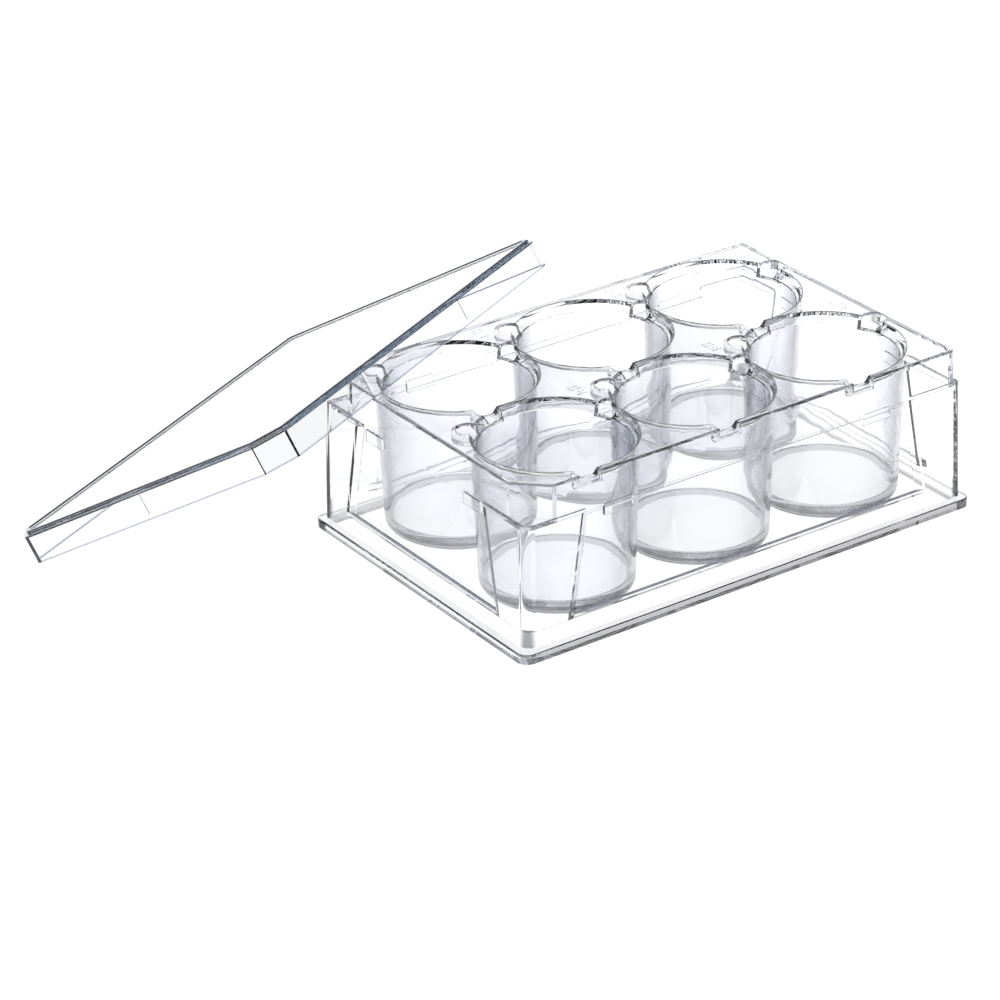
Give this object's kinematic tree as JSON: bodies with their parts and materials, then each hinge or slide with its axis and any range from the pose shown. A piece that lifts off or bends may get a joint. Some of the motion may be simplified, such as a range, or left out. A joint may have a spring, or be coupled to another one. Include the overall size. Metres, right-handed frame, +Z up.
{
  "type": "well plate with cover",
  "caption": "Clear moulded culture plate with deep wells and hanging notches, its loose cover leaning against one corner.",
  "frame": {"origin": "centre of the plate's rectangular footprint, on the bench", "axes": "+X along the plate's long side, away from the end with the two cut corners; +Y along its short side, towards the side the cover leans on; +Z up"},
  "size_m": [0.1922, 0.1646, 0.0478],
  "materials": {
    "plate_clear": "clear polished polystyrene",
    "lid_clear": "clear polished polystyrene"
  },
  "bodies": {
    "root": {"plate": "plate_clear", "lid": "lid_clear"}
  },
  "joints": []
}
